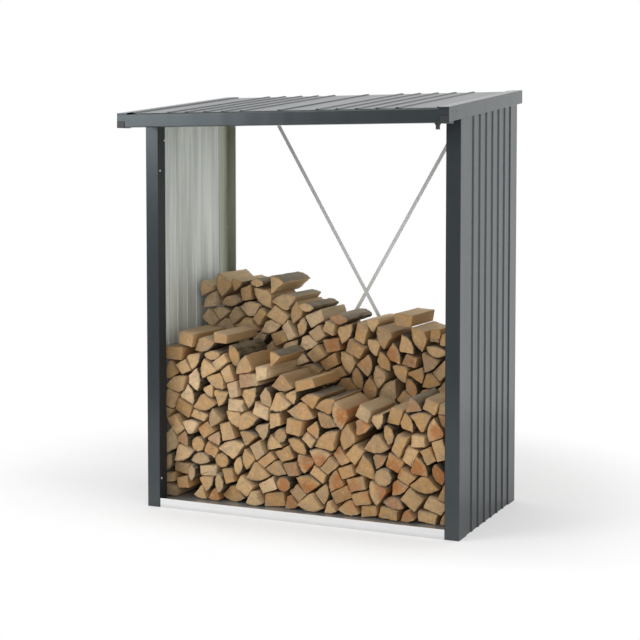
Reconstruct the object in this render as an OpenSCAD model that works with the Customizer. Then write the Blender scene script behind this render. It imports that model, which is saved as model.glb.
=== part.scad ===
// Sheet-metal log store: four folded corner posts, ribbed side walls, a pent roof that drains into a front
// gutter, an aluminium base frame, a crossed pair of rear braces, and two rows of split firewood.
// Millimetres, +Z up, front towards -Y, origin on the ground at the centre of the overall box.

/* [Footprint] */
// Width over the corner posts
store_w = 1530; // [1300:10:2300]
// Depth over the corner posts
store_d = 816; // [740:2:1000]

/* [Roof] */
// Height of the roof's top edge above the ground, at the front of the gutter
eaves_h = 1824; // [1600:2:2100]
// Rise of the roof from front to back
roof_rise = 120; // [80:5:180]
// Roof overhang in front of the posts
front_overhang = 210; // [150:5:280]
// Roof overhang behind the posts
rear_overhang = 14; // [12:1:40]
// Roof overhang beyond each side wall
side_overhang = 20; // [16:1:40]
// Height of the verge boards and of the rear edge trim
verge_h = 62; // [58:1:80]
// Width of the verge boards' top flange
verge_flange = 50; // [40:1:55]
// Sheet thickness of the verge boards and the rear trim
trim_t = 1; // [0.8:0.1:1.5]

/* [Ribbed sheet] */
// Thickness of the wall and roof sheet
sheet_t = 0.8; // [0.6:0.1:1.2]
// Height of a pressed rib
rib_h = 4.5; // [3.5:0.5:8]
// Width of a rib at its foot
rib_foot = 20; // [18:1:26]
// Width of a rib at its crest
rib_crest = 13; // [8:1:15]
// Distance of the roof sheet's turned-up edge from the roof's side
upstand_inset = 15; // [12:1:25]

/* [Corner posts] */
// Width of a front post's face
post_w = 66; // [50:1:75]
// Depth of a front post's inner return
post_return = 64; // [50:1:70]
// Width of a rear post's face
rear_post_w = 40; // [30:1:60]
// Sheet thickness of the posts
post_t = 1.2; // [1:0.1:2]
// Outer radius of the folded sheets' bends
bend_r = 3; // [2.5:0.5:4]
// Stiffening lip along a front post's inner return
return_lip = 14; // [8:1:18]
// Lip that the wall sheet is fixed to
wall_lip = 20; // [12:1:24]

/* [Beams] */
// Width of the rafters
rafter_w = 40; // [30:1:45]
// Height of the rafters and lintels
rafter_h = 45; // [35:1:48]
// Depth of the front and rear lintels
lintel_d = 40; // [30:1:50]
// Wall thickness of the rafters and lintels
tube_t = 1.5; // [1:0.1:2.5]

/* [Gutter] */
// Height of the gutter's front face
gutter_h = 57; // [45:1:65]
// Depth of the gutter from front to back
gutter_d = 58; // [50:1:70]
// Drop of the gutter's rim below the roof's top edge
gutter_drop = 7; // [5:0.5:10]
// Width of the gutter's folded front rim
gutter_rim = 10; // [6:1:12]
// Sheet thickness of the gutter
gutter_t = 1.2; // [0.8:0.1:2]
// Thickness of the moulded end caps
cap_t = 2.5; // [2:0.5:3]
// Length of the shoe that an end cap wraps round the gutter
cap_wrap = 38; // [30:1:40]
// Height of that shoe
cap_shoe = 28; // [20:1:34]
// Reach of the roof sheet into the gutter
drip = 14; // [8:1:20]

/* [Rain outlet] */
// Distance of the outlet from the roof's right side
outlet_inset = 58; // [56:1:90]
// Outer radius of the spout
spout_r = 9; // [7:0.5:10]
// Length of the straight spout
spout_l = 16; // [12:1:30]
// Bore radius of the spout
spout_bore = 7; // [5:0.5:7.5]
// Radius of the outlet's funnel where it meets the gutter
funnel_r = 15; // [12:0.5:16]
// Height of the funnel
funnel_h = 10; // [6:1:14]

/* [Base frame] */
// Height of the base rails' outer face
rail_h = 42; // [38:1:60]
// Width of the base rails
rail_w = 40; // [34:1:46]
// Height of the ledge that carries the floor sheet
ledge_h = 30; // [24:1:36]
// Wall thickness of the base rails
rail_t = 2; // [1.5:0.5:3]
// Thickness of the rails' upstanding rim
rim_t = 3; // [2:0.5:4]
// Set-back of the front sill behind the posts' faces
sill_setback = 2; // [1:0.5:4]
// Depth of the two grooves along a sill's face
groove_d = 1.2; // [0.8:0.1:1.5]
// Thickness of the floor sheet
floor_t = 1; // [1:0.1:3]
// Room between the floor sheet and what surrounds it
floor_room = 0.5; // [0.3:0.1:0.9]

/* [Rear braces] */
// Half the distance between a pair of brace ends
brace_half = 550; // [400:5:600]
// Width of a brace
brace_w = 18; // [14:1:24]
// Thickness of a brace
brace_t = 2; // [1.5:0.5:3]

/* [Firewood] */
// Usual width of a log's end
log_w = 94; // [70:1:110]
// Usual height of a squarely split log's end
log_h = 75; // [55:1:90]
// Room between neighbouring logs
log_gap = 0.5; // [0.4:0.1:0.8]
// Room between the two rows of logs
row_gap = 30; // [20:1:60]
// Room between the firewood and the frame around it
stack_room = 8; // [5:1:30]
// Height of the front row where it is highest
front_stack_h = 810; // [500:5:1000]
// Height of the rear row where it is highest
rear_stack_h = 1045; // [500:5:1300]
// Largest difference in length between two logs
log_spread = 24; // [5:1:40]

/* [Hidden] */
$fn = 48;

anthracite = [0.27, 0.30, 0.32];
galvanised = [0.72, 0.75, 0.75];
bare_aluminium = [0.86, 0.87, 0.88];
black_plastic = [0.05, 0.05, 0.055];
split_wood = [0.72, 0.55, 0.38];

big = 5000;
half_w = store_w / 2;
roof_w = store_w + 2 * side_overhang;
half_roof = roof_w / 2;
roof_d = front_overhang + store_d + rear_overhang;

// Depth runs from the shoe of the end caps to the rear trim
y_front_edge = -(roof_d + cap_t) / 2 + cap_t;
y_posts = y_front_edge + front_overhang;
y_rear = y_posts + store_d;
y_end = y_rear + rear_overhang;
y_gutter_back = y_front_edge + gutter_d;

// Heights on the roof, measured square to the slope from the roof's top plane
slope_deg = atan(roof_rise / roof_d);
sheet_top = -(trim_t + rib_h);
rafter_top = sheet_top - sheet_t;
rafter_bottom = rafter_top - rafter_h;

// The walls' flat sheet lies behind the posts' faces, so that the rib crests are flush with them
joggle = rib_h + sheet_t;
wall_x = half_w - joggle;
post_bend = min(bend_r, 0.45 * joggle);
rib_pitch = (half_roof - side_overhang - rafter_w) / 8;
flange_w = store_d / 8;
wall_pitch = (store_d - 2 * flange_w) / 6.75;

// Folded sheet profiles

function unit(v) = v / norm(v);
function left_normal(a, b) = let(d = unit(b - a)) [-d.y, d.x];

// Points of a path moved to its left by t, with mitred corners
function moved_left(path, t) = [
    for (i = [0 : len(path) - 1])
        let(
            before = left_normal(path[max(i - 1, 0)], path[max(i, 1)]),
            after = left_normal(path[min(i, len(path) - 2)], path[min(i + 1, len(path) - 1)])
        )
        path[i] + (before + after) * t / (1 + before * after)
];

function reversed(list) = [for (i = [len(list) - 1 : -1 : 0]) list[i]];

// Outline of a sheet of thickness t that lies to the left of a path
function folded(path, t) = concat(path, reversed(moved_left(path, t)));

// A path with each inner corner turned into an arc of radius r
function with_bends(path, r, steps = 3) = [
    for (i = [0 : len(path) - 1])
        if (i == 0 || i == len(path) - 1)
            path[i]
        else
            let(
                p = path[i],
                to_last = unit(path[i - 1] - p),
                to_next = unit(path[i + 1] - p),
                half = acos(to_last * to_next) / 2,
                reach = r / tan(half),
                centre = p + unit(to_last + to_next) * r / sin(half),
                from = p + to_last * reach - centre,
                upto = p + to_next * reach - centre
            )
            for (k = [0 : steps])
                let(mix = unit(from * (1 - k / steps) + upto * k / steps))
                    centre + mix * r
];

function rib(at) = [
    [at - rib_foot / 2, 0], [at - rib_crest / 2, rib_h], [at + rib_crest / 2, rib_h], [at + rib_foot / 2, 0]
];

// 2D (x, z) drawn along y, and 2D (y, z) drawn along x

module along_y(from, upto) {
    translate([0, upto, 0]) rotate([90, 0, 0]) linear_extrude(upto - from) children();
}

module along_x(from, upto) {
    translate([from, 0, 0]) rotate([90, 0, 90]) linear_extrude(upto - from) children();
}

// The roof's own frame: y runs up the slope from the gutter's front, z is square to the roof
module on_slope() {
    translate([0, y_front_edge, eaves_h]) rotate([slope_deg, 0, 0]) children();
}

// A roof profile in (x, z), cut off upright at two depths
module roof_run(from, upto) {
    intersection() {
        on_slope() along_y(-roof_d, 2 * roof_d) children();
        translate([-big, from, 0]) cube([2 * big, upto - from, big]);
    }
}

// What lies under the rafters
module under_rafters() {
    difference() {
        children();
        on_slope() translate([-big, -big, rafter_bottom]) cube([2 * big, 2 * big, big]);
    }
}

// Base frame

// Hollow rail with a ledge for the floor; u runs inwards from the outer face
module rail_profile() {
    groove_h = rail_t;
    difference() {
        polygon([[0, 0], [0, rail_h], [rim_t, rail_h], [rim_t, ledge_h], [rail_w, ledge_h], [rail_w, 0]]);
        translate([rim_t, rail_t]) square([rail_w - rim_t - rail_t, ledge_h - 2 * rail_t]);
        for (third = [1, 2])
            translate([-1, third * rail_h / 3 - groove_h / 2]) square([1 + groove_d, groove_h]);
    }
}

rail_outer = wall_x - post_t;
rail_inner = rail_outer - rail_w;

module front_sill() {
    color(bare_aluminium)
        along_x(post_w - half_w, half_w - post_w) translate([y_posts + sill_setback, 0]) rail_profile();
}

module rear_sill() {
    color(bare_aluminium)
        along_x(-rail_inner, rail_inner) translate([y_rear, 0]) mirror([1, 0]) rail_profile();
}

module right_base_rail() {
    color(bare_aluminium)
        along_y(y_posts + post_return, y_rear - post_t) translate([rail_outer, 0]) mirror([1, 0]) rail_profile();
}

module left_base_rail() {
    mirror([1, 0, 0]) right_base_rail();
}

floor_top = ledge_h + floor_t;

module floor_sheet() {
    side = rail_outer - rim_t - floor_room;
    neck = half_w - post_w - floor_room;
    y_neck = y_posts + post_return + floor_room;
    y_a = y_posts + sill_setback + rim_t + floor_room;
    y_b = y_rear - rim_t - floor_room;
    color(galvanised)
        translate([0, 0, ledge_h])
            linear_extrude(floor_t)
                polygon([
                    [-neck, y_a], [neck, y_a], [neck, y_neck], [side, y_neck], [side, y_b],
                    [-side, y_b], [-side, y_neck], [-neck, y_neck]
                ]);
}

// Corner posts: the side flange steps in to a lip behind the wall sheet

module front_right_post() {
    path = [
        [half_w - post_w + return_lip, y_posts + post_return],
        [half_w - post_w, y_posts + post_return],
        [half_w - post_w, y_posts],
        [half_w, y_posts],
        [half_w, y_posts + flange_w],
        [wall_x, y_posts + flange_w],
        [wall_x, y_posts + flange_w + wall_lip]
    ];
    color(anthracite)
        under_rafters() linear_extrude(eaves_h + roof_rise) polygon(folded(with_bends(path, post_bend), post_t));
}

module front_left_post() {
    mirror([1, 0, 0]) front_right_post();
}

module rear_right_post() {
    hem = rear_post_w / 5;
    path = [
        [wall_x, y_rear - flange_w - wall_lip],
        [wall_x, y_rear - flange_w],
        [half_w, y_rear - flange_w],
        [half_w, y_rear],
        [half_w - rear_post_w, y_rear],
        [half_w - rear_post_w, y_rear - hem]
    ];
    color(anthracite)
        under_rafters() linear_extrude(eaves_h + roof_rise) polygon(folded(with_bends(path, post_bend), post_t));
}

module rear_left_post() {
    mirror([1, 0, 0]) rear_right_post();
}

// Side walls: one ribbed sheet on each side, on the outside of the posts' lips

module right_wall_sheet() {
    edge = store_d / 2 - flange_w - floor_room;
    ribs = [for (k = [-2.5 : 2.5]) each rib(k * wall_pitch)];
    path = concat([[-edge, 0]], ribs, [[edge, 0]]);
    color(anthracite)
        under_rafters()
            linear_extrude(eaves_h + roof_rise)
                translate([wall_x + sheet_t, (y_posts + y_rear) / 2])
                    rotate(-90) polygon(folded(reversed(path), sheet_t));
}

module left_wall_sheet() {
    mirror([1, 0, 0]) right_wall_sheet();
}

// Roof beams

module tube_profile(w, h, t) {
    difference() {
        square([w, h]);
        translate([t, t]) square([w - 2 * t, h - 2 * t]);
    }
}

module right_rafter() {
    color(anthracite)
        roof_run(y_gutter_back, y_end - trim_t)
            translate([half_w - rafter_w, rafter_bottom]) tube_profile(rafter_w, rafter_h, tube_t);
}

module left_rafter() {
    mirror([1, 0, 0]) right_rafter();
}

// A lintel between the rafters, with its hollow parallel to the roof
module lintel(from) {
    inner = half_w - rafter_w;
    color(anthracite)
        difference() {
            roof_run(from, from + lintel_d) translate([-inner, rafter_bottom]) square([2 * inner, rafter_h]);
            roof_run(from + tube_t, from + lintel_d - tube_t)
                translate([-inner - 1, rafter_bottom + tube_t])
                    square([2 * inner + 2, rafter_h - 2 * tube_t]);
        }
}

module front_lintel() {
    lintel(y_posts);
}

module rear_lintel() {
    lintel(y_rear - lintel_d);
}

// Roof: two ribbed sheets, turned up under the verge boards and lapped at the middle rib

// Room under the cut edge of the lap
seam_room = 0.4;
rib_steps = [2, 3, 4, 5, 6, 8];
y_sheet_front = y_gutter_back - drip;
y_sheet_rear = y_end;

function roof_ribs() = [for (k = reversed(rib_steps)) each rib(-k * rib_pitch)];

module left_roof_sheet() {
    run = (rib_foot - rib_crest) / 2;
    lap_z = seam_room + sheet_t * run / norm([run, rib_h]);
    lap = [
        [-rib_foot / 2, 0], [-rib_crest / 2, rib_h], [rib_crest / 2, rib_h],
        [rib_crest / 2 + run * (1 - lap_z / rib_h), lap_z]
    ];
    edge = half_roof - upstand_inset;
    path = concat([[-edge, rib_h], [-edge, 0]], roof_ribs(), lap);
    color(anthracite)
        roof_run(y_sheet_front, y_sheet_rear)
            translate([0, sheet_top]) polygon(folded(reversed(path), sheet_t));
}

module right_roof_sheet() {
    start = rib_crest / 2 - 2 * sheet_t;
    edge = half_roof - upstand_inset;
    ribs = [for (k = rib_steps) each rib(k * rib_pitch)];
    path = concat([[start, rib_h / 2], [start, 0]], ribs, [[edge, 0], [edge, rib_h]]);
    color(anthracite)
        roof_run(y_sheet_front, y_sheet_rear)
            translate([0, sheet_top]) polygon(folded(reversed(path), sheet_t));
}

verge_face = [[half_roof, -verge_h], [half_roof, 0], [half_roof - verge_flange, 0]];

module right_verge_board() {
    lip = [[half_roof - gutter_rim, -verge_h]];
    color(anthracite)
        roof_run(y_gutter_back, y_end) polygon(folded(with_bends(concat(lip, verge_face), bend_r), trim_t));
}

module left_verge_board() {
    mirror([1, 0, 0]) right_verge_board();
}

// Pieces that carry the verge boards on over the ends of the gutter
module verge_ends() {
    for (side = [0, 1])
        color(anthracite)
            mirror([side, 0, 0])
                roof_run(y_front_edge, y_gutter_back) polygon(folded(with_bends(verge_face, bend_r), trim_t));
}

module rear_roof_trim() {
    leg = half_roof - trim_t;
    color(anthracite)
        roof_run(y_end - trim_t, y_end) translate([-leg, -verge_h]) square([2 * leg, verge_h + rafter_top]);
}

// Gutter, end caps and rain outlet

gutter_top = eaves_h - gutter_drop;
gutter_bottom = gutter_top - gutter_h;
cap_outer = half_roof - trim_t;
gutter_half = cap_outer - cap_t;
outlet_x = half_roof - outlet_inset;
outlet_y = y_front_edge + gutter_d / 2;

module gutter() {
    back_top = gutter_top - gutter_drop / 2;
    path = [
        [y_front_edge + gutter_rim, gutter_top],
        [y_front_edge, gutter_top],
        [y_front_edge, gutter_bottom],
        [y_gutter_back, gutter_bottom],
        [y_gutter_back, back_top]
    ];
    color(anthracite)
        difference() {
            along_x(-gutter_half, gutter_half) polygon(folded(with_bends(path, bend_r), gutter_t));
            translate([outlet_x, outlet_y, gutter_bottom - 1]) cylinder(r = spout_bore, h = gutter_t + 2);
        }
}

module gutter_right_cap() {
    y_shoe = y_front_edge - cap_t;
    z_shoe = gutter_bottom - cap_t;
    shoe = [
        [y_shoe, z_shoe], [y_gutter_back, z_shoe], [y_gutter_back, gutter_bottom],
        [y_front_edge, gutter_bottom], [y_front_edge, gutter_bottom + cap_shoe], [y_shoe, gutter_bottom + cap_shoe]
    ];
    plate = [
        [y_shoe, z_shoe], [y_gutter_back, z_shoe], [y_gutter_back, gutter_top - gutter_drop / 2],
        [y_front_edge, gutter_top], [y_front_edge, gutter_bottom + cap_shoe], [y_shoe, gutter_bottom + cap_shoe]
    ];
    color(anthracite)
        union() {
            along_x(half_roof - cap_wrap, cap_outer) polygon(shoe);
            along_x(gutter_half, cap_outer) polygon(plate);
        }
}

module gutter_left_cap() {
    mirror([1, 0, 0]) gutter_right_cap();
}

module rain_outlet() {
    section = [
        [spout_bore, 0], [funnel_r, 0], [spout_r, -funnel_h],
        [spout_r, -funnel_h - spout_l], [spout_bore, -funnel_h - spout_l]
    ];
    color(black_plastic)
        translate([outlet_x, outlet_y, gutter_bottom]) rotate_extrude() polygon(section);
}

// Rear braces: flat bars across the open back, from the rear sill to the rear lintel

function roof_z(y, n) = eaves_h + (y - y_front_edge) * tan(slope_deg) + n / cos(slope_deg);

brace_low = rail_h / 2;
brace_high = roof_z(y_rear, rafter_bottom + rafter_h / 2);

// A round-ended bar that rises towards +x, its front face at depth y
module brace(y) {
    run = 2 * brace_half;
    rise = brace_high - brace_low;
    length = norm([run, rise]);
    color(galvanised)
        translate([-brace_half, y + brace_t, brace_low])
            rotate([90, -atan2(rise, run), 0])
                union() {
                    translate([0, -brace_w / 2, 0]) cube([length, brace_w, brace_t]);
                    cylinder(d = brace_w, h = brace_t);
                    translate([length, 0, 0]) cylinder(d = brace_w, h = brace_t);
                }
}

module falling_brace() {
    mirror([1, 0, 0]) brace(y_rear);
}

module rising_brace() {
    brace(y_rear + brace_t);
}

module brace_spacers() {
    for (end = [[-brace_half, brace_low], [brace_half, brace_high]])
        color(galvanised)
            translate([end.x, y_rear + brace_t, end.y]) rotate([90, 0, 0]) cylinder(d = brace_w, h = brace_t);
}

// Firewood: split logs laid one by one, each where it lies lowest and snuggest on the last

function toward(angle) = [cos(angle), sin(angle)];

// Part of a convex outline on the inner side of the line through p with outward normal n
function clip(outline, p, n) = [
    for (i = [0 : 1 : len(outline) - 1])
        let(
            a = outline[i],
            b = outline[(i + 1) % len(outline)],
            da = (a - p) * n,
            db = (b - p) * n
        )
        each concat(da <= 0 ? [a] : [], da * db < 0 ? [a + (b - a) * da / (da - db)] : [])
];

function clip_all(outline, lines, i = 0) =
    i == len(lines) ? outline : clip_all(clip(outline, lines[i][0], lines[i][1]), lines, i + 1);

function sum(list, i = 0) = i == len(list) - 1 ? list[i] : list[i] + sum(list, i + 1);
function middle(outline) = sum(outline) / len(outline);

// A convex outline made smaller by room on every side
function inset(outline, room) = clip_all(outline, [
    for (i = [0 : 1 : len(outline) - 1])
        let(a = outline[i], n = -left_normal(a, outline[(i + 1) % len(outline)])) [a - n * room, n]
]);

half_bay = rail_outer - rim_t - stack_room;
y_stack = y_posts + max(sill_setback + rail_w, post_return) + stack_room;
y_stack_end = y_rear - rail_w - stack_room;
log_l = (y_stack_end - y_stack - row_gap) / 2;
heap_step = log_w / 10;
too_high = 1e6;

// Height of each row along its length, as parts of the half width and of the highest point
front_profile = [
    [-1, 0.93], [-0.78, 1], [-0.52, 0.96], [-0.39, 0.91], [-0.23, 0.84], [-0.03, 0.78],
    [0.17, 0.7], [0.31, 0.66], [0.5, 0.66], [0.62, 0.71], [1, 0.73]
];
rear_profile = [
    [-1, 0.96], [-0.87, 1], [-0.53, 1], [-0.32, 0.96], [-0.25, 0.9], [-0.1, 0.88],
    [-0.02, 0.87], [0.05, 0.84], [0.4, 0.84], [0.63, 0.81], [1, 0.8]
];

function stack_top(x, profile, h) = h * lookup(x / half_bay, profile);

// Ends of logs: a wedge with a blunt point, four split faces, a whole round
function wedge_end(r, blunt, angle) =
    let(steps = max(3, round(angle / 30)))
    concat(
        [r * blunt * toward(90 + angle / 2), r * blunt * toward(90 - angle / 2)],
        [for (i = [0 : steps]) r * toward(90 + angle * (i / steps - 0.5))]
    );

function square_end(w, h, luck) = [
    [-w * (0.65 + 0.55 * luck[4]), -h],
    [w, -h * (0.65 + 0.55 * luck[5])],
    [w * (0.65 + 0.55 * luck[6]), h],
    [-w, h * (0.65 + 0.55 * luck[7])]
];

function round_end(r) = [for (i = [0 : 11]) r * toward(30 * i)];

function log_end(luck) =
    let(
        w = log_w * (0.8 + 0.3 * luck[1]),
        h = log_h * (0.8 + 0.3 * luck[2]),
        outline = luck[0] < 0.5 ? wedge_end(w, 0.08 + 0.25 * luck[2], 50 + 45 * luck[3])
            : luck[0] < 0.62 ? wedge_end(0.64 * w, 0.08 + 0.2 * luck[2], 120 + 40 * luck[3])
            : luck[0] < 0.98 ? square_end(0.46 * w, 0.41 * h, luck)
            : round_end(0.42 * w),
        c = middle(outline)
    )
    [for (p = outline) p - c];

function turned(outline, angle) =
    [for (p = outline) [p.x * cos(angle) - p.y * sin(angle), p.x * sin(angle) + p.y * cos(angle)]];

function left_of(outline) = min([for (p = outline) p.x]);
function right_of(outline) = max([for (p = outline) p.x]);

// Heights at which an outline's edges cross an upright line
function crossings(outline, x) = [
    for (i = [0 : len(outline) - 1])
        let(a = outline[i], b = outline[(i + 1) % len(outline)])
            if (min(a.x, b.x) <= x && x <= max(a.x, b.x))
                a.y + (b.y - a.y) * (a.x == b.x ? 0 : (x - a.x) / (b.x - a.x))
];

// Where a log lies best on the heap: [cost, outline moved along to that place]
function best_place(outline, heap, profile, h) =
    let(
        from = left_of(outline),
        upto = right_of(outline),
        top = 0.8 * max([for (p = outline) p.y]),
        steps = ceil((upto - from) / heap_step),
        under = [for (j = [0 : steps]) min(crossings(outline, min(from + j * heap_step, upto)))],
        ones = [for (j = [0 : steps]) 1],
        costs = [
            for (i = [0 : len(heap) - 1 - steps])
                let(
                    room = [for (j = [0 : steps]) heap[i + j] - under[j]],
                    z = max(room),
                    x = i * heap_step - half_bay - from
                )
                z + top > stack_top(x, profile, h) ? too_high
                    : z + 1.2 * (z - room * ones / len(ones))
        ],
        least = min(costs),
        i = search(least, costs)[0]
    )
    [least, [for (p = outline) p + [i * heap_step - half_bay - from, 0]]];

// How far an outline has to rise to lie on another
function rise(outline, other) =
    let(
        from = max(left_of(outline), left_of(other)),
        upto = min(right_of(outline), right_of(other))
    )
    from > upto ? 0 : max(concat(
        [for (p = outline) if (from <= p.x && p.x <= upto) max(crossings(other, p.x)) - p.y],
        [for (p = other) if (from <= p.x && p.x <= upto) p.y - min(crossings(outline, p.x))]
    ));

// The heap, as [logs, heights along it], with one more log
function with_log(heap, profile, h, seed) =
    let(
        luck = rands(0, 1, 9, seed),
        tries = [
            for (turn = [0 : 11])
                best_place(turned(log_end(luck), 30 * (turn + luck[8])), heap[1], profile, h)
        ],
        costs = [for (t = tries) t[0]],
        best = tries[search(min(costs), costs)[0]],
        floor_rise = floor_top - min([for (p = best[1]) p.y]),
        up = max(concat([floor_rise], [for (other = heap[0]) rise(best[1], other)])),
        laid = [for (p = best[1]) p + [0, up]],
        from = left_of(laid),
        upto = right_of(laid)
    )
    best[0] >= too_high ? heap : [
        concat(heap[0], [laid]),
        [
            for (i = [0 : len(heap[1]) - 1])
                let(x = i * heap_step - half_bay)
                    x < from || x > upto ? heap[1][i] : max(concat([heap[1][i]], crossings(laid, x)))
        ]
    ];

function stacked(profile, h, seed) =
    let(
        bare = [[], [for (x = [-half_bay : heap_step : half_bay]) floor_top]],
        most = ceil(2.2 * half_bay * h / (log_w * log_h)),
        heaps = [
            for (k = 0, heap = bare; k <= most; heap = with_log(heap, profile, h, seed + k), k = k + 1)
                if (k == most) heap
        ]
    )
    heaps[0][0];

module log_row(y, profile, h, seed) {
    logs = stacked(profile, h, seed);
    shift = rands(0, log_spread, 2 * len(logs), seed);
    for (i = [0 : len(logs) - 1])
        along_y(y + shift[2 * i], y + log_l - shift[2 * i + 1])
            polygon(inset(logs[i], log_gap / 2));
}

module front_log_row() {
    color(split_wood) log_row(y_stack, front_profile, front_stack_h, 41);
}

module rear_log_row() {
    color(split_wood) log_row(y_stack + log_l + row_gap, rear_profile, rear_stack_h, 733);
}

front_sill();
rear_sill();
left_base_rail();
right_base_rail();
floor_sheet();
front_left_post();
front_right_post();
rear_left_post();
rear_right_post();
left_wall_sheet();
right_wall_sheet();
left_rafter();
right_rafter();
front_lintel();
rear_lintel();
left_roof_sheet();
right_roof_sheet();
left_verge_board();
right_verge_board();
verge_ends();
rear_roof_trim();
gutter();
gutter_left_cap();
gutter_right_cap();
rain_outlet();
falling_brace();
rising_brace();
brace_spacers();
front_log_row();
rear_log_row();
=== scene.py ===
import bpy, bmesh, math
import numpy as np
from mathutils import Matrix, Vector


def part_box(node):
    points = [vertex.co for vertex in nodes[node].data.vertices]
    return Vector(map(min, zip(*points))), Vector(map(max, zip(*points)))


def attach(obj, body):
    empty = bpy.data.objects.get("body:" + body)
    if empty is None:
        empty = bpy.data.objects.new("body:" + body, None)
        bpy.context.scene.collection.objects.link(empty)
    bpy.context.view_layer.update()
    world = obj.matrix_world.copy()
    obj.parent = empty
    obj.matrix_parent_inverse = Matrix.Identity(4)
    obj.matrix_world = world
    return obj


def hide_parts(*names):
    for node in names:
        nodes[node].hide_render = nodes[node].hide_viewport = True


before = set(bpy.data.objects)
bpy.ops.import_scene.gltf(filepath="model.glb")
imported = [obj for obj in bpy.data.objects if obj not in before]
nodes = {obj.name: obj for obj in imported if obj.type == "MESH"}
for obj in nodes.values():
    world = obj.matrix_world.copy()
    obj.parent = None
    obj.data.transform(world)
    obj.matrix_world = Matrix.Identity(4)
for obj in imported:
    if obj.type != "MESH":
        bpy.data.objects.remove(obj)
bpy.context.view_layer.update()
scene = bpy.context.scene
samePlane = 1e-4  # metres between points that count as one plane
print("frame loaded:", len(nodes), "nodes")


# camera, fitted to the corners of posts, gutter and roof
camera = {"place": (2.6454, -5.8741, 1.5703), "turn": 0.4261, "down": 0.0524,
          "sensor": 36, "lens": 78.695, "shift": -0.12}


def makeCamera():
    data = bpy.data.cameras.new("camera")
    data.sensor_fit = "HORIZONTAL"
    data.sensor_width = camera["sensor"]
    data.lens = camera["lens"]
    data.shift_y = camera["shift"]
    cam = bpy.data.objects.new("camera", data)
    cam.location = camera["place"]
    cam.rotation_euler = (math.pi / 2 - camera["down"], 0, camera["turn"])
    scene.collection.objects.link(cam)
    scene.camera = cam


makeCamera()
print("camera placed")


# shader maths: a socket that adds Math nodes when it is used in an expression
class Sock:
    def __init__(self, net, out):
        self.net, self.out = net, out

    def calc(self, operation, a, b=0.0):
        return self.net.add("ShaderNodeMath", {"operation": operation}, {0: a, 1: b})

    def __add__(self, other):
        return self.calc("ADD", self, other)

    def __radd__(self, other):
        return self.calc("ADD", other, self)

    def __sub__(self, other):
        return self.calc("SUBTRACT", self, other)

    def __rsub__(self, other):
        return self.calc("SUBTRACT", other, self)

    def __mul__(self, other):
        return self.calc("MULTIPLY", self, other)

    def __rmul__(self, other):
        return self.calc("MULTIPLY", other, self)

    def __lt__(self, other):
        return self.calc("LESS_THAN", self, other)

    def __gt__(self, other):
        return self.calc("GREATER_THAN", self, other)

    def root(self):
        return self.calc("SQRT", self)

    def sine(self):
        return self.calc("SINE", self)

    def larger(self, other):
        return self.calc("MAXIMUM", self, other)


# the nodes of one material or world
class Net:
    def __init__(self, tree):
        self.tree = tree

    def put(self, socket, value):
        if isinstance(value, Sock):
            self.tree.links.new(value.out, socket)
        elif isinstance(value, tuple) and len(value) == 3 and socket.type == "RGBA":
            socket.default_value = (*value, 1)
        else:
            socket.default_value = value

    def add(self, kind, settings=None, sockets=None, out=0):
        node = self.tree.nodes.new(kind)
        for key, value in (settings or {}).items():
            setattr(node, key, value)
        for key, value in (sockets or {}).items():
            self.put(node.inputs[key], value)
        return Sock(self, node.outputs[out])

    def mix(self, factor, a, b):
        return self.add("ShaderNodeMix", {"data_type": "RGBA", "clamp_factor": True},
                        {0: factor, 6: a, 7: b}, 2)

    def place(self):
        return self.add("ShaderNodeTexCoord", None, None, "Object")

    def facing(self):
        return self.parts(self.add("ShaderNodeNewGeometry", None, None, "Normal"))

    def attribute(self, name, out):
        return self.add("ShaderNodeAttribute", {"attribute_name": name}, None, out)

    def parts(self, vector):
        split = self.add("ShaderNodeSeparateXYZ", None, {0: vector})
        return [Sock(self, o) for o in split.out.node.outputs]

    def joined(self, x, y, z):
        return self.add("ShaderNodeCombineXYZ", None, {0: x, 1: y, 2: z})

    def vectors(self, operation, a, b=(0, 0, 0)):
        return self.add("ShaderNodeVectorMath", {"operation": operation}, {0: a, 1: b})

    def noise(self, vector, size, detail=3.0, rough=0.5):
        # size: one scale, or one for each axis
        if isinstance(size, tuple):
            vector, size = self.vectors("MULTIPLY", vector, size), 1.0
        return self.add("ShaderNodeTexNoise", None,
                        {"Vector": vector, "Scale": size, "Detail": detail, "Roughness": rough})

    def ramp(self, value, low, high, a=0.0, b=1.0, how="SMOOTHSTEP"):
        return self.add("ShaderNodeMapRange", {"interpolation_type": how},
                        {0: value, 1: low, 2: high, 3: a, 4: b})

    def bump(self, height, distance, strength, under=None):
        sockets = {"Height": height, "Distance": distance, "Strength": strength}
        if under:
            sockets["Normal"] = under
        return self.add("ShaderNodeBump", None, sockets)


class Finish(Net):
    def __init__(self, name):
        self.material = bpy.data.materials.new(name)
        self.material.use_nodes = True
        super().__init__(self.material.node_tree)
        self.shader = next(n for n in self.tree.nodes if n.type == "BSDF_PRINCIPLED")

    def set(self, **values):
        for key, value in values.items():
            self.put(self.shader.inputs[key.replace("_", " ")], value)
        return self.material


# paint on sheets, posts and trims: noise is (scale, detail, roughness), a bump is (distance, strength)
paintLook = {
    "color": (0.026, 0.031, 0.034), "worn": (0.036, 0.042, 0.046), "sheen": (0.84, 0.96, 1.0), "rough": 0.19,
    "dust": (0.10, 0.10, 0.095), "dustHeight": (0.02, 0.20), "dustShare": 0.25,
    "blotch": (3.5, 4, 0.55), "runs": ((26, 26, 1.3), 3, 0.6),
    "wave": ((9, 9, 1.1), 2, 0.4), "waveBump": (0.003, 0.5),
    "fine": (700, 2, 0.5), "fineBump": (0.00008, 0.5),
}
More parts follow.
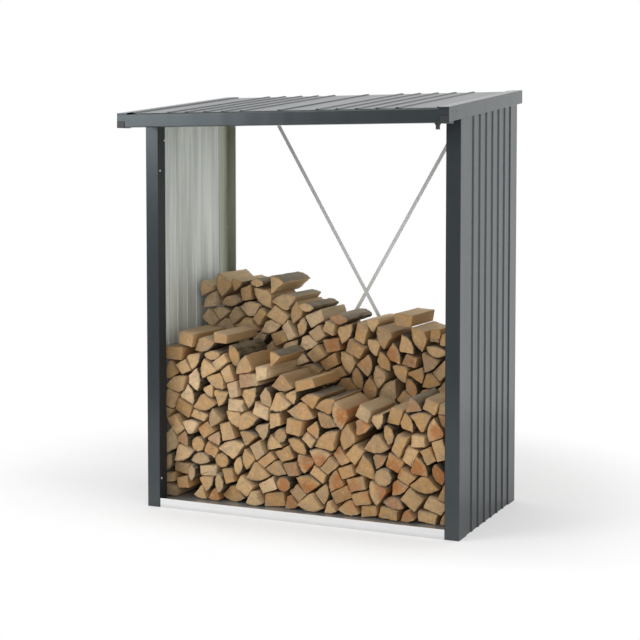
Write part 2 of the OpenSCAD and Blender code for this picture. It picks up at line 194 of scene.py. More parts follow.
# the other finish on the side that faces the bay: a plainer coat on walls, flanges and roof, darker and matt
# on the front posts; outer is roughness added on both sides
innerLook = {
    # on the wall sheets the light and dark bands between color and shade are painted reflections
    "wall": {"color": (0.86, 0.89, 0.85), "shade": (0.56, 0.59, 0.55),
             "metal": 0.0, "rough": 0.28, "outer": 0.0},
    "flange": {"color": (0.38, 0.40, 0.315), "shade": (0.30, 0.315, 0.24),
               "metal": 0.3, "rough": 0.2, "outer": 0.0},
    "roof": {"color": (0.20, 0.21, 0.15), "shade": (0.14, 0.15, 0.10),
             "metal": 0.4, "rough": 0.12, "outer": 0.06},
    "post": {"color": (0.016, 0.017, 0.018), "shade": (0.011, 0.012, 0.013),
             "metal": 0.0, "rough": 0.5, "outer": 0.0},
}
bareSide = {"down": -0.2, "inward": -0.05, "forward": -0.5, "rearFrom": 0.45, "runs": (0.3, 0.75)}


def bareMask(f, p, inner):
    # 1 on faces that look down under the roof or into the bay
    x, y = f.parts(p)[:2]
    nx, ny, nz = f.facing()
    if inner == "roof":
        return nz < bareSide["down"]
    bare = x * nx < bareSide["inward"]
    if inner == "flange":
        bare = bare.larger((ny < bareSide["forward"]) * (y > bareSide["rearFrom"]))
    return bare


def paintFinish(name, inner=None):
    f = Finish(name)
    p = f.place()
    blotch = f.noise(p, *paintLook["blotch"])
    runs = f.noise(p, *paintLook["runs"])
    dust = f.ramp(f.parts(p)[2] + 0.05 * blotch, *paintLook["dustHeight"], 1, 0)
    color = f.mix(blotch * 0.7 + runs * 0.3, paintLook["color"], paintLook["worn"])
    color = f.mix(dust * paintLook["dustShare"], color, paintLook["dust"])
    rough = paintLook["rough"] + 0.07 * blotch + 0.04 * runs
    if inner:
        look = innerLook[inner]
        bare = bareMask(f, p, inner)
        # faces towards the bay take the inner colour, banded along the runs; on the wall sheets these bands
        # are painted reflections
        color = f.mix(bare, color, f.mix(f.ramp(runs, *bareSide["runs"]), look["shade"], look["color"]))
        rough = rough + look["outer"] + bare * look["rough"]
        f.set(Metallic=bare * look["metal"])
    fine = f.bump(f.noise(p, *paintLook["fine"]), *paintLook["fineBump"])
    normal = f.bump(f.noise(p, *paintLook["wave"]), *paintLook["waveBump"], fine)
    return f.set(Base_Color=color, Roughness=rough, Normal=normal, Specular_Tint=paintLook["sheen"])


galvanisedLook = {"color": (0.44, 0.47, 0.47), "bright": (0.56, 0.58, 0.58), "metal": 0.75, "rough": 0.34,
                  "spangle": 110.0, "blotch": (9, 3), "fine": (400, 2), "bump": (0.00008, 0.5)}


def galvanisedFinish():
    f = Finish("galvanisedSteel")
    p = f.place()
    look = galvanisedLook
    cells = f.add("ShaderNodeTexVoronoi", None, {"Vector": p, "Scale": look["spangle"]}, "Color")
    spangle = f.parts(cells)[0]
    blotch = f.noise(p, *look["blotch"])
    color = f.mix(spangle * 0.6 + blotch * 0.4, look["color"], look["bright"])
    rough = look["rough"] + 0.12 * spangle + 0.06 * blotch
    normal = f.bump(f.noise(p, *look["fine"]), *look["bump"])
    return f.set(Base_Color=color, Metallic=look["metal"], Roughness=rough, Normal=normal)


zincLook = {"color": (0.72, 0.73, 0.73), "dull": (0.64, 0.65, 0.65), "metal": 0.1, "rough": 0.46,
            "blotch": (14, 3)}


def zincFinish():
    f = Finish("zincPlate")
    blotch = f.noise(f.place(), *zincLook["blotch"])
    return f.set(Base_Color=f.mix(blotch, zincLook["color"], zincLook["dull"]), Metallic=zincLook["metal"],
                 Roughness=zincLook["rough"] + 0.1 * blotch)


aluminiumLook = {"color": (0.86, 0.865, 0.87), "dull": (0.74, 0.745, 0.75), "metal": 0.25, "rough": 0.30,
                 "dust": (0.30, 0.29, 0.27), "dustHeight": (0.0, 0.02), "dustShare": 0.3,
                 "brushed": ((3, 120, 260), 4, 0.6), "blotch": (6, 3), "bump": (0.00015, 0.5)}


def aluminiumFinish():
    f = Finish("bareAluminium")
    p = f.place()
    look = aluminiumLook
    brushed = f.noise(p, *look["brushed"])
    blotch = f.noise(p, *look["blotch"])
    dust = f.ramp(f.parts(p)[2], *look["dustHeight"], 1, 0)
    color = f.mix(brushed * 0.6 + blotch * 0.3, look["color"], look["dull"])
    color = f.mix(dust * look["dustShare"], color, look["dust"])
    return f.set(Base_Color=color, Metallic=look["metal"], Roughness=look["rough"] + 0.16 * blotch,
                 Normal=f.bump(brushed, *look["bump"]))


plasticLook = {
    "greyPlastic": {"color": (0.020, 0.022, 0.022), "faded": (0.028, 0.030, 0.030), "rough": 0.40},
    "blackPlastic": {"color": (0.012, 0.012, 0.013), "faded": (0.022, 0.022, 0.023), "rough": 0.35},
    "blotch": (40, 3), "fine": (900, 2), "bump": (0.0001, 0.6),
}


def plasticFinish(name):
    f = Finish(name)
    p = f.place()
    look = plasticLook[name]
    blotch = f.noise(p, *plasticLook["blotch"])
    color = f.mix(blotch, look["color"], look["faded"])
    normal = f.bump(f.noise(p, *plasticLook["fine"]), *plasticLook["bump"])
    return f.set(Base_Color=color, Roughness=look["rough"] + 0.12 * blotch, Normal=normal)


finishes = {
    "paint": paintFinish("anthracitePaint"),
    "post": paintFinish("postPaint", "post"),
    "wall": paintFinish("wallPaint", "wall"),
    "flange": paintFinish("flangePaint", "flange"),
    "roof": paintFinish("roofPaint", "roof"),
    "galvanised": galvanisedFinish(),
    "zinc": zincFinish(),
    "aluminium": aluminiumFinish(),
    "cap": plasticFinish("greyPlastic"),
    "black": plasticFinish("blackPlastic"),
}
wearers = {
    "paint": ("left_verge_board", "right_verge_board", "verge_ends", "rear_roof_trim", "gutter"),
    "post": ("front_left_post", "front_right_post"),
    "wall": ("left_wall_sheet", "right_wall_sheet"),
    "flange": ("rear_left_post", "rear_right_post"),
    "roof": ("left_roof_sheet", "right_roof_sheet"),
    "galvanised": ("floor_sheet", "left_rafter", "right_rafter", "front_lintel", "rear_lintel"),
    "zinc": ("falling_brace", "rising_brace", "brace_spacers"),
    "aluminium": ("front_sill", "rear_sill", "left_base_rail", "right_base_rail"),
    "cap": ("gutter_left_cap", "gutter_right_cap"),
    "black": ("rain_outlet",),
}
for finish, names in wearers.items():
    for name in names:
        mesh = nodes[name].data
        mesh.materials.clear()
        mesh.materials.append(finishes[finish])
print("metal finished")


def addPiece(name, mesh):
    piece = bpy.data.objects.new(name, mesh)
    scene.collection.objects.link(piece)
    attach(piece, "root")
    return piece


def pointsOf(mesh):
    co = np.empty(len(mesh.vertices) * 3)
    mesh.vertices.foreach_get("co", co)
    return co.reshape(-1, 3)


def frontOf(points):
    return points[points[:, 1] < points[:, 1].min() + samePlane]


# firewood: each log's outline is read from its solid and carved out of it
carving = {
    "step": 0.010, "rings": 8, "corner": 0.004, "cornerShare": 0.3, "soft": 36, "crease": 38,
    "splitDepth": 0.005, "roughness": (0.3, 1.2), "barkDepth": 0.004,
    "notch": 0.008, "notchShare": (0.4, 1), "notchOdds": 0.4,
    "notchAt": (0.1, 0.9), "notchWidth": (0.012, 0.03),
    "pithAway": (0.6, 1.3), "pithSpread": 0.05, "phases": (0, 6.28, 8), "cuts": 2, "cutShare": 0.25,
    "endTilt": 0.09, "endRim": 0.0018, "endRings": (0.965, 0.72, 0.40), "endBump": (0.0006, 260, 230),
    "rimTone": 0.75,
    # waves across a split face: pitch, sway, speed of the sway and share
    "grain": ((330, 1.5, 5, 0.25), (160, 2, 3, 0.35)), "drift": (70, 4, 0.4),
    "knobs": {"pitch": 300, "sway": 4, "speed": 14, "along": 25, "across": 90},
}
digits = 5  # rounding of places in metres


def logLabels(mesh, points):
    # one number per point, the same for all points of one log
    _, same = np.unique(np.round(points, digits), axis=0, return_inverse=True)
    same = same.ravel()
    edges = np.empty(len(mesh.edges) * 2, dtype=int)
    mesh.edges.foreach_get("vertices", edges)
    edges = same[edges].reshape(-1, 2)
    label = np.arange(same.max() + 1)
    old = None
    while old is None or (label != old).any():
        old = label.copy()
        low = np.minimum(label[edges[:, 0]], label[edges[:, 1]])
        np.minimum.at(label, edges[:, 0], low)
        np.minimum.at(label, edges[:, 1], low)
        label = label[label]
    return label[same]


def logsIn(mesh):
    # outline (x, z), front and back of each straight log in a mesh
    points = pointsOf(mesh)
    label = logLabels(mesh, points)
    found = []
    for k in np.unique(label):
        log = points[label == k]
        outline = np.unique(np.round(frontOf(log)[:, [0, 2]], digits), axis=0)
        out = outline - outline.mean(0)
        outline = outline[np.argsort(np.arctan2(out[:, 1], out[:, 0]))]
        found.append((outline, log[:, 1].min(), log[:, 1].max()))
    return found


def turns(outline):
    # the turn at each corner in degrees
    ahead = np.roll(outline, -1, 0) - outline
    behind = outline - np.roll(outline, 1, 0)
    cross = behind[:, 0] * ahead[:, 1] - behind[:, 1] * ahead[:, 0]
    return np.degrees(np.arctan2(cross, (behind * ahead).sum(1)))


def barkEdges(outline):
    # edges on the rounded side of a log
    soft = turns(outline) < carving["soft"]
    return soft | np.roll(soft, -1)


def eased(outline, bark):
    # rounds of corner cutting where bark meets bark, so that the round side is smooth
    share = carving["cutShare"]
    for _ in range(carving["cuts"]):
        points, kind = [], []
        n = len(outline)
        for i in range(n):
            last, here, after = outline[i - 1], outline[i], outline[(i + 1) % n]
            if bark[i - 1] and bark[i]:
                points += [here + (last - here) * share, here + (after - here) * share]
                kind += [True, True]
            else:
                points.append(here)
                kind.append(bark[i])
        outline, bark = np.array(points), np.array(kind)
    return outline, bark


def resampled(outline, bark):
    # points about one step apart, with sharp corners eased, and whether each is bark
    points, kind = [], []
    sharp = turns(outline) > carving["soft"]
    for i in range(len(outline)):
        k = (i + 1) % len(outline)
        a, b = outline[i], outline[k]
        length = np.linalg.norm(b - a)
        ease = min(carving["corner"], length * carving["cornerShare"])
        start, end = ease * sharp[i], ease * sharp[k]
        inner = length - start - end
        n = max(1, int(round(inner / carving["step"])))
        for j in range(n + int(sharp[k])):
            t = start + inner * j / n
            points.append(a + (b - a) * t / length)
            kind.append(bool(bark[i]))
    return np.array(points), np.array(kind)


def drawLog(ring, bark, rng, ruddyAndLight):
    # the log's own chances, in a fixed order; the pith is where the split faces meet, away from the bark
    mid = ring.mean(0)
    along = np.concatenate([[0], np.cumsum(np.linalg.norm(np.diff(ring, axis=0), axis=1))])
    if bark.any():
        pith = mid + (mid - ring[bark].mean(0)) * rng.uniform(*carving["pithAway"])
    else:
        pith = mid + rng.normal(0, carving["pithSpread"], 2)
    phase = rng.uniform(*carving["phases"])
    rough = carving["splitDepth"] * rng.uniform(*carving["roughness"])
    # a broken splinter along one edge of some logs
    notch = rng.uniform(*carving["notchShare"]) * carving["notch"] * (rng.random() < carving["notchOdds"])
    away = np.abs(along - rng.uniform(*carving["notchAt"]) * along[-1])
    notch = notch * np.clip(1 - away / rng.uniform(*carving["notchWidth"]), 0, 1)
    tilt = rng.normal(0, carving["endTilt"], (2, 2))
    # a shift to redder, darker tones or to paler ones; the paler rear-left logs are painted light
    tone = rng.random(3) + (-ruddyAndLight, ruddyAndLight, 0)
    room = (np.abs(tilt) * np.abs(ring - mid).max(0)).sum(1)
    return {"ring": ring, "bark": bark, "mid": mid, "along": along, "pith": pith, "phase": phase,
            "rough": rough, "notch": notch, "tilt": tilt, "tone": tone, "room": room}


def sideDepth(log, t):
    # how deep the sides are cut at a share t of the length
    s, phase = log["along"], log["phase"]
    grain = 0
    for i, (pitch, sway, speed, share) in enumerate(carving["grain"]):
        grain = grain + np.sin(s * pitch + phase[2 * i] + sway * np.sin(speed * t + phase[2 * i + 1])) * share
    pitch, speed, share = carving["drift"]
    grain = grain + np.sin(s * pitch + phase[4] + speed * t) * share
    form = carving["knobs"]
    knob = np.sin(s * form["pitch"] + phase[5] + form["sway"] * np.sin(form["speed"] * t + phase[6])) \
        * np.sin(form["along"] * t + s * form["across"] + phase[7])
    split = log["rough"] * (0.5 + 0.5 * grain) + log["notch"] * (0.7 + 0.3 * np.sin(9 * t + phase[5]))
    return np.where(log["bark"], carving["barkDepth"] * (0.5 + 0.5 * knob), split)


def slanted(log, end, points, rim=0.0):
    # how far an end's points lie inside the solid's end: 0 is the front end, 1 the back
    inside = (points - log["mid"]) @ log["tilt"][end] + log["room"][end] + rim
    return -inside if end else inside


def addRing(out, points, y, rim):
    first = out["count"]
    out["co"].append(np.stack([points[:, 0], y, points[:, 1]], 1))
    out["rim"].append(rim)
    out["count"] += len(points)
    return first


def addFaces(out, faces, kinds):
    out["faces"] += faces
    out["kind"] += kinds


splitFace, barkFace, endFace = 0, 1, 2  # places in the list of wood materials


def carveSides(log, y0, y1, out):
    ring = log["ring"]
    n = len(ring)
    ahead = np.roll(ring, -1, 0) - np.roll(ring, 1, 0)
    inward = np.stack([-ahead[:, 1], ahead[:, 0]], 1)
    inward /= np.maximum(np.linalg.norm(inward, axis=1, keepdims=True), 1e-9)
    rows = []
    for t in np.linspace(0, 1, carving["rings"]):
        points = ring + inward * sideDepth(log, t)[:, None]
        y = np.full(n, y0 + (y1 - y0) * t)
        if t in (0, 1):
            y = y + slanted(log, int(t), points, carving["endRim"])
        rows.append((points, addRing(out, points, y, np.zeros(n))))
    kinds = [barkFace if b else splitFace for b in log["bark"]]
    for (_, a), (_, b) in zip(rows[:-1], rows[1:]):
        addFaces(out, [(a + i, a + (i + 1) % n, b + (i + 1) % n, b + i) for i in range(n)], kinds)
    return rows[0], rows[-1]


def carveEnd(log, end, y0, points, last, out):
    # rings that shrink towards the middle of a sawn end
    n = len(points)
    mid, phase = log["mid"], log["phase"]
    way = -1 if end else 1
    height, pitchX, pitchZ = carving["endBump"]
    for place, share in enumerate(carving["endRings"]):
        q = mid + (points - mid) * share
        uneven = height * np.sin(q[:, 0] * pitchX + phase[0]) * np.sin(q[:, 1] * pitchZ + phase[1])
        rim = np.ones(n) if place else np.where(log["bark"], 0.0, carving["rimTone"])
        start = addRing(out, q, y0 + (slanted(log, end, q) + uneven), rim)
        faces = [(last + i, start + i, start + (i + 1) % n, last + (i + 1) % n)[::way] for i in range(n)]
        addFaces(out, faces, [endFace] * n)
        last = start
    centre = addRing(out, mid[None], y0 + slanted(log, end, mid[None]), np.ones(1))
    addFaces(out, [(last + i, centre, last + (i + 1) % n)[::way] for i in range(n)], [endFace] * n)


def carveLog(outline, y0, y1, rng, ruddyAndLight, out):
    log = drawLog(*resampled(*eased(outline, barkEdges(outline))), rng, ruddyAndLight)
    before = len(out["co"])
    front, back = carveSides(log, y0, y1, out)
    carveEnd(log, 0, y0, *front, out)
    carveEnd(log, 1, y1, *back, out)
    points = np.concatenate(out["co"][before:])
    out["pith"].append(points - (log["pith"][0], 0, log["pith"][1]))
    out["tone"].append(np.tile(log["tone"], (len(points), 1)))


# wood: noise is (scale, detail, roughness), a layer is (start, full, share, colour), other rows are ramps
woodLook = {
    "tan": (0.46, 0.27, 0.11), "pale": (0.59, 0.395, 0.20), "red": (0.38, 0.135, 0.035),
    "paleTone": (0.1, 0.7), "redTone": (0.6, 1.1),
    "heart": (0.045, 0.085, 0.85, 0), "warp": (34, 3), "warpSize": 0.04,
    "cream": (0.7, 1.0, 0.8, (0.70, 0.52, 0.32)), "grey": (0.65, 1.0, 0.5, (0.29, 0.23, 0.155)),
    "up": (0.45, 0.9),
}
barkLook = {
    "bark": (0.045, 0.034, 0.021), "ridge": (0.17, 0.13, 0.08), "ridges": (0.35, 0.65),
    "plates": ((60, 14, 60), 5, 0.65), "patch": (9, 3), "patches": (0.55, 0.7, 0.5, (0.26, 0.18, 0.10)),
    "weathered": (0.42, 0.36, 0.27), "weather": (0.0, 0.9, 0.25, 0.75), "bump": (0.004, 0.9), "rough": 0.86,
    "shine": 0.25,
}
splitLook = {
    "fibre": ((170, 7, 170), 5, 0.65), "fibres": (0.35, 0.7, 0.25, (0.2, 0.12, 0.06)),
    "streak": ((40, 3, 40), 3, 0.5), "streaks": (0.5, 0.75, 0.45, (0.29, 0.23, 0.155)),
    "bleached": (0.66, 0.52, 0.34), "bleachShare": 0.5, "bump": (0.0022, 0.8), "rough": 0.74, "shine": 0.3,
}
endLook = {
    "mottle": (130, 4, 0.7), "mottles": (0.40, 0.72, 0.36, (0.22, 0.12, 0.05)),
    "patch": (62, 3, 0.6), "darkPatches": (0.50, 0.72, 0.25, (0.16, 0.09, 0.04)),
    "palePatches": (0.46, 0.28, 0.35, (0.70, 0.52, 0.32)),
    "stain": (26, 3), "stains": (0.46, 0.70, 0.5, (0.29, 0.23, 0.155)),
    "rings": 1500, "ringShare": 0.121, "ringColor": (0.25, 0.14, 0.06),
    "wobble": (18, 2), "wobbleSize": 0.012,
    "spokes": (1.0, 3, 0.6), "spokeScale": (9, 9, 9), "spokeShift": (40, 40, 40),
    "cracks": (0.64, 0.70), "crackPatches": (0.42, 0.60),
    "crackShare": 0.8, "crackColor": (0.06, 0.035, 0.02),
    "rimShare": 0.55, "rimColor": (0.20, 0.14, 0.09),
    "saw": ((30, 30, 420), 2), "bump": (0.0012, 0.7), "rough": 0.78, "shine": 0.25,
}


def layered(f, color, value, layer):
    start, full, share, tint = layer
    return f.mix(f.ramp(value, start, full) * share, color, tint)


def logTone(f):
    return f.parts(f.attribute("tone", "Vector"))


# faces that look up, which the wood finishes paint lighter, partly as weathering and partly as painted light
# from above
def upward(f):
    return f.ramp(f.facing()[2], *woodLook["up"])


def woodColor(f, p, radius):
    # the log's own tone, redder near the pith of some logs
    tone = logTone(f)
    color = f.mix(f.ramp(tone[0], *woodLook["paleTone"]), woodLook["tan"], woodLook["pale"])
    color = layered(f, color, tone[0], woodLook["cream"])
    heart = f.ramp(radius + f.noise(p, *woodLook["warp"]) * woodLook["warpSize"], *woodLook["heart"])
    color = f.mix(f.ramp(tone[1], *woodLook["redTone"]) * heart, color, woodLook["red"])
    return layered(f, color, tone[2], woodLook["grey"])


def fromPith(f):
    # direction and distance from the pith, across the log
    x, _, z = f.parts(f.attribute("pith", "Vector"))
    return f.vectors("NORMALIZE", f.joined(x, 0.0, z)), (x * x + z * z).root()


def barkFinish():
    f = Finish("logBark")
    p = f.place()
    plates = f.noise(p, *barkLook["plates"])
    patch = f.noise(p, *barkLook["patch"])
    color = f.mix(f.ramp(plates, *barkLook["ridges"]), barkLook["bark"], barkLook["ridge"])
    color = layered(f, color, patch, barkLook["patches"])
    # upward bark is painted lighter grey, partly weathering and partly painted light from above
    weather = upward(f) * f.ramp(logTone(f)[2], *barkLook["weather"])
    color = f.mix(weather, color, barkLook["weathered"])
    return f.set(Base_Color=color, Roughness=barkLook["rough"] + 0.1 * patch,
                 Normal=f.bump(plates, *barkLook["bump"]), Specular_IOR_Level=barkLook["shine"])


def splitFinish():
    f = Finish("splitWood")
    p = f.place()
    fibre = f.noise(p, *splitLook["fibre"])
    streak = f.noise(p, *splitLook["streak"])
    color = woodColor(f, p, fromPith(f)[1])
    color = layered(f, color, fibre, splitLook["fibres"])
    color = layered(f, color, streak, splitLook["streaks"])
    # upward split faces are painted paler, partly bleaching and partly painted light from above
    color = f.mix(upward(f) * splitLook["bleachShare"], color, splitLook["bleached"])
    return f.set(Base_Color=color, Roughness=splitLook["rough"] + 0.14 * streak,
                 Normal=f.bump(fibre, *splitLook["bump"]), Specular_IOR_Level=splitLook["shine"])


def endFinish():
    f = Finish("logEnds")
    p = f.place()
    look = endLook
    spoke, radius = fromPith(f)
    wobble = f.noise(f.attribute("pith", "Vector"), *look["wobble"])
    rings = ((radius + wobble * look["wobbleSize"]) * look["rings"]).sine()
    tone = logTone(f)[0]
    shift = f.vectors("MULTIPLY", f.joined(tone, tone, tone), look["spokeShift"])
    spoke = f.vectors("MULTIPLY", spoke, look["spokeScale"])
    spokes = f.noise(f.vectors("ADD", spoke, shift), *look["spokes"])
    crack = f.ramp(spokes, *look["cracks"]) * f.ramp(wobble, *look["crackPatches"])
    stain = f.noise(p, *look["stain"])
    patch = f.noise(p, *look["patch"])
    color = woodColor(f, p, radius)
    color = layered(f, color, f.noise(p, *look["mottle"]), look["mottles"])
    color = layered(f, color, patch, look["darkPatches"])
    color = layered(f, color, patch, look["palePatches"])
    color = f.mix((rings * 0.5 + 0.5) * look["ringShare"], color, look["ringColor"])
    color = layered(f, color, stain, look["stains"])
    color = f.mix((1 - f.attribute("rim", "Fac")) * look["rimShare"], color, look["rimColor"])
    # cracks are painted dark as the shade inside them
    color = f.mix(crack * look["crackShare"], color, look["crackColor"])
    height = f.noise(p, *look["saw"]) * 0.5 + rings * 0.15 - crack * 1.2
    return f.set(Base_Color=color, Roughness=look["rough"] + 0.12 * stain,
                 Normal=f.bump(height, *look["bump"]), Specular_IOR_Level=look["shine"])


woods = [splitFinish(), barkFinish(), endFinish()]  # in the order of splitFace, barkFace and endFace


def logPiece(name, node, logs, seed, ruddyAndLight):
    rng = np.random.default_rng(seed)
    out = {"co": [], "rim": [], "pith": [], "tone": [], "faces": [], "kind": [], "count": 0}
    for outline, y0, y1 in logs:
        carveLog(outline, y0, y1, rng, ruddyAndLight, out)
    mesh = bpy.data.meshes.new(name)
    mesh.from_pydata(np.concatenate(out["co"]).tolist(), [], out["faces"])
    for wood in woods:
        mesh.materials.append(wood)
    mesh.polygons.foreach_set("material_index", out["kind"])
    for key, kind, field in (("pith", "FLOAT_VECTOR", "vector"), ("tone", "FLOAT_VECTOR", "vector"),
                             ("rim", "FLOAT", "value")):
        layer = mesh.attributes.new(key, kind, "POINT")
        layer.data.foreach_set(field, np.concatenate(out[key]).ravel())
    mesh.shade_smooth()
    mesh.set_sharp_from_angle(angle=math.radians(carving["crease"]))
    piece = addPiece(name, mesh)
    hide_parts(node)
    print(name, len(logs), "logs", sum(len(f) - 2 for f in out["faces"]), "triangles")


# each row is two pieces, one side's logs shifted to redder and darker tones or to paler ones; the paler
# rear-left logs are painted light
logRows = {
    "front_log_row": {"seed": 5, "ruddyLeft": 0.0, "ruddyRight": 0.28},
    "rear_log_row": {"seed": 11, "ruddyLeft": -0.3, "ruddyRight": 0.15},
}
for node, row in logRows.items():
    logs = logsIn(nodes[node].data)
    logs.sort(key=lambda item: item[0][:, 0].mean())
    half = len(logs) // 2
    logPiece(node + "_left", node, logs[:half], row["seed"], row["ruddyLeft"])
    logPiece(node + "_right", node, logs[half:], row["seed"] + 1, row["ruddyRight"])


# roof edge above the gutter: black plates just inside the open rib ends as painted shade, and lips that close
# the verge ends
ribEndShadeForm = {"deep": 0.003, "tall": 0.0042, "inset": 0.0006, "sheet": 0.0009, "crest": (0.008, 0.016),
              "digits": 4}
lipForm = {"thick": 0.001}


def addPlate(shape, x0, x1, y, z0, z1, deep):
    # an upright plate that starts at y and is deep towards the back
    corners = ((x0, z0), (x1, z0), (x1, z1), (x0, z1))
    front, back = ([shape.verts.new((x, place, z)) for x, z in corners] for place in (y, y + deep))
    for i in range(len(corners)):
        k = (i + 1) % len(corners)
        shape.faces.new((front[i], front[k], back[k], back[i]))
    shape.faces.new(front)
    shape.faces.new(back)


def platePiece(name, shape, finish):
    bmesh.ops.recalc_face_normals(shape, faces=shape.faces)
    mesh = bpy.data.meshes.new(name)
    shape.to_mesh(mesh)
    shape.free()
    mesh.materials.append(finishes[finish])
    addPiece(name, mesh)


def ribFillers():
    shape = bmesh.new()
    low, high = ribEndShadeForm["crest"]
    inset = ribEndShadeForm["inset"]
    for node in ("left_roof_sheet", "right_roof_sheet"):
        edge = frontOf(pointsOf(nodes[node].data))
        top = edge[:, 2].max()
        crests = np.unique(np.round(edge[edge[:, 2] > top - samePlane][:, 0], ribEndShadeForm["digits"]))
        ceiling = top - ribEndShadeForm["sheet"]
        for a, b in zip(crests[:-1], crests[1:]):
            if low < b - a < high:
                addPlate(shape, a + inset, b - inset, edge[:, 1].min() + inset,
                         ceiling - ribEndShadeForm["tall"], ceiling, ribEndShadeForm["deep"])
    platePiece("ribFillers", shape, "black")


def vergeLips():
    shape = bmesh.new()
    thick = lipForm["thick"]
    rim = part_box("gutter")[1][2]
    low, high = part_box("verge_ends")
    front = frontOf(pointsOf(nodes["verge_ends"].data))
    inner = np.abs(front[:, 0]).min()
    top = front[:, 2].max() - thick
    for side in (1, -1):
        addPlate(shape, side * (high[0] - 2 * thick), side * inner, low[1], rim, top, thick)
    platePiece("vergeLips", shape, "paint")


ribFillers()
vergeLips()
print("roof edge closed")


# screws, rivets and bolts in mm: a profile is (radius, height) from the middle outwards, and a spot is
# a node, a corner of its box (0 low, 1 high) and the way from there; mirrored ones are repeated on the left
fixings = {
    "screw": {
        "sides": 16, "facing": (-1, 0, 0), "mirrored": True, "slot": "galvanised_steel", "finish": "zinc",
        "profile": ((0, 1.6), (1.6, 1.6), (2.0, 3.0), (3.6, 2.7), (4.7, 1.4), (5.0, 0)),
        "spots": (
            ("front_right_post", (0, 0, 0), (0, 55.95, 1706)),
            ("front_right_post", (0, 0, 0), (0, 15.95, 1566)),
            ("front_right_post", (0, 0, 0), (0, 13.95, 134)),
            ("rear_right_post", (1, 1, 0), (-1.2, -25.25, 1274)),
            ("rear_right_post", (1, 1, 0), (-1.2, -25.25, 704)),
            ("rear_right_post", (1, 1, 0), (-1.2, -25.25, 134))),
    },
    "rivet": {
        "sides": 16, "facing": (1, 0, 0), "mirrored": True, "slot": "painted_steel", "finish": "paint",
        "profile": ((0, 1.7), (1.8, 1.5), (3.2, 0.9), (4.0, 0)),
        "spots": (("verge_ends", (1, 0, 0), (0, 38.75, 44.4)),
                  ("right_verge_board", (1, 0, 0), (0, 40.75, 41.7))),
    },
    "bolt": {
        "sides": 6, "facing": (0, 1, 0), "mirrored": False, "slot": "galvanised_steel", "finish": "zinc",
        "profile": ((0, 6.2), (5.2, 6.2), (6.4, 5.4), (6.4, 1.6), (8.6, 1.6), (8.8, 0)),
        "spots": (("rising_brace", (0, 1, 0), (9, 0, 9)), ("rising_brace", (1, 1, 1), (-9, 0, -9)),
                  ("falling_brace", (1, 1, 0), (-9, 0, 9)), ("falling_brace", (0, 1, 1), (9, 0, -9))),
    },
}
mm = 0.001
fixingCrease = 35


def headPoints(spec, base, facing):
    # rings from the first step of the profile outwards, then the middle
    turn = facing.to_track_quat("Z", "Y")
    points = []
    for r, h in spec["profile"][1:]:
        for k in range(spec["sides"]):
            a = 2 * math.pi * k / spec["sides"]
            points.append(Vector((r * math.cos(a), r * math.sin(a), h)))
    points.append(Vector((0, 0, spec["profile"][0][1])))
    return [base + turn @ p * mm for p in points]


def headFaces(spec, first):
    sides, rings = spec["sides"], len(spec["profile"]) - 1
    middle = first + rings * sides
    faces = []
    for k in range(sides):
        after = (k + 1) % sides
        faces.append((middle, first + k, first + after))
        for a in range(first, first + (rings - 1) * sides, sides):
            faces.append((a + k, a + sides + k, a + sides + after, a + after))
    return faces


def fixingHeads(name, spec):
    co, faces = [], []
    for node, corner, way in spec["spots"]:
        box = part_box(node)
        base = Vector(box[c][axis] + way[axis] * mm for axis, c in enumerate(corner))
        for side in (1, -1) if spec["mirrored"] else (1,):
            mirror = Vector((side, 1, 1))
            faces += headFaces(spec, len(co))
            co += headPoints(spec, base * mirror, Vector(spec["facing"]) * mirror)
    mesh = bpy.data.meshes.new(name)
    mesh.from_pydata([tuple(v) for v in co], [], faces)
    mesh.materials.append(finishes[spec["finish"]])
    mesh.shade_smooth()
    mesh.set_sharp_from_angle(angle=math.radians(fixingCrease))
    addPiece(name, mesh)


for name, spec in fixings.items():
    fixingHeads(name + "Heads", spec)
print("fixings added")


# studio: a white sweep behind, a dimmer room in front, a large lamp from the upper left and soft fill
lamps = {
    "keyLamp": {"place": (-3.9, -4.6, 3.2), "size": 3.0, "power": 180, "aim": (0, 0, 0.9)},
    "fillLamp": {"place": (2.8, -5.0, 1.7), "size": 2.2, "power": 45, "aim": (-0.4, 0.2, 1.0)},
    "topLamp": {"place": (0.2, 0.6, 5.2), "size": 3.4, "power": 80, "aim": (0, 0, 1)},
}
# what shiny faces mirror goes from front to back along y, with a bright side at the right along x
room = {"level": 0.69, "front": 0.13, "back": 1.05, "depth": (-0.1, 0.7),
        "side": 1.8, "sideWidth": (0.55, 0.85)}
# the ground is shaded behind the store, and lifted to white away from it and in front of it
groundLook = {
    "radius": 3.2, "corners": 96, "drop": 0.0005, "middle": (-0.3, 0.35), "noise": (2.0,), "rough": 0.95,
    "pale": (0.90, 0.90, 0.90), "paler": (0.92, 0.92, 0.92), "shade": (0.76, 0.76, 0.76),
    "shadeReach": (0.9, 2.0, 1, 0), "shadeFront": (-0.5, 0.1),
    "lift": 0.42, "liftReach": (1.3, 2.6), "liftFront": (-0.35, -0.85), "liftFrontShare": 0.55,
}


def addLamp(name, spec):
    data = bpy.data.lights.new(name, "AREA")
    data.size = spec["size"]
    data.energy = spec["power"]
    lamp = bpy.data.objects.new(name, data)
    lamp.location = spec["place"]
    lamp.rotation_euler = (Vector(spec["aim"]) - Vector(spec["place"])).to_track_quat("-Z", "Y").to_euler()
    scene.collection.objects.link(lamp)


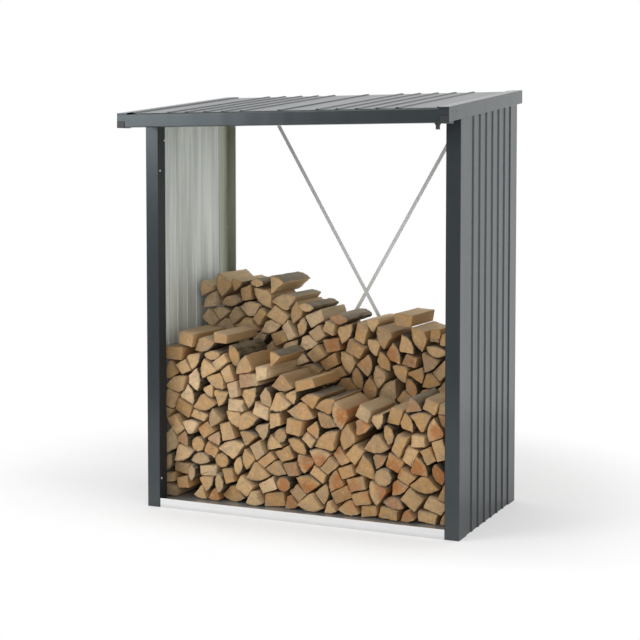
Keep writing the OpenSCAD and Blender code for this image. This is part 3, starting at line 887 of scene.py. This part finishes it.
def makeWorld():
    world = bpy.data.worlds.new("studio")
    scene.world = world
    world.use_nodes = True
    w = Net(world.node_tree)
    x, y = w.parts(w.add("ShaderNodeTexCoord", None, None, "Generated"))[:2]
    mirrored = w.ramp(y, *room["depth"], room["front"], room["back"], "LINEAR") \
        + w.ramp(x, *room["sideWidth"], 0.0, room["side"], "LINEAR")
    glossy = w.add("ShaderNodeLightPath", None, None, "Is Glossy Ray")
    seen = w.add("ShaderNodeLightPath", None, None, "Is Camera Ray")
    level = w.ramp(glossy, 0.0, 1.0, room["level"], mirrored, "LINEAR")
    background = w.tree.nodes["Background"]
    w.put(background.inputs["Strength"], w.ramp(seen, 0.0, 1.0, level, 1.0, "LINEAR"))
    w.put(background.inputs["Color"], (1, 1, 1))


def groundFinish():
    f = Finish("paleGround")
    p = f.place()
    look = groundLook
    x, y = f.parts(p)[:2]
    side, back = x - look["middle"][0], y - look["middle"][1]
    far = (side * side + back * back).root()
    behind = f.ramp(far, *look["shadeReach"]) * f.ramp(y, *look["shadeFront"])
    color = f.mix(f.noise(p, *look["noise"]), look["pale"], look["paler"])
    f.set(Base_Color=f.mix(behind, color, look["shade"]), Roughness=look["rough"], Specular_IOR_Level=0.0)
    matt = Sock(f, f.shader.outputs[0])
    white = f.add("ShaderNodeEmission", None, {"Color": (1, 1, 1), "Strength": 1.0})
    lift = look["lift"] + f.ramp(far, *look["liftReach"])
    lift = lift + f.ramp(y, *look["liftFront"]) * look["liftFrontShare"]
    lifted = f.add("ShaderNodeMixShader", None, {0: lift, 1: matt, 2: white})
    seen = f.add("ShaderNodeLightPath", None, None, "Is Camera Ray")
    shown = f.add("ShaderNodeMixShader", None, {0: seen, 1: matt, 2: lifted})
    output = next(n for n in f.tree.nodes if n.type == "OUTPUT_MATERIAL")
    f.put(output.inputs["Surface"], shown)
    return f.material


def makeGround():
    bpy.ops.mesh.primitive_circle_add(vertices=groundLook["corners"], radius=groundLook["radius"],
                                      fill_type="NGON", location=(0, 0, -groundLook["drop"]))
    ground = bpy.context.object
    ground.name = "ground"
    ground.data.materials.append(groundFinish())


for name, spec in lamps.items():
    addLamp(name, spec)
makeWorld()
makeGround()
scene.view_settings.view_transform = "Standard"
print("studio ready")
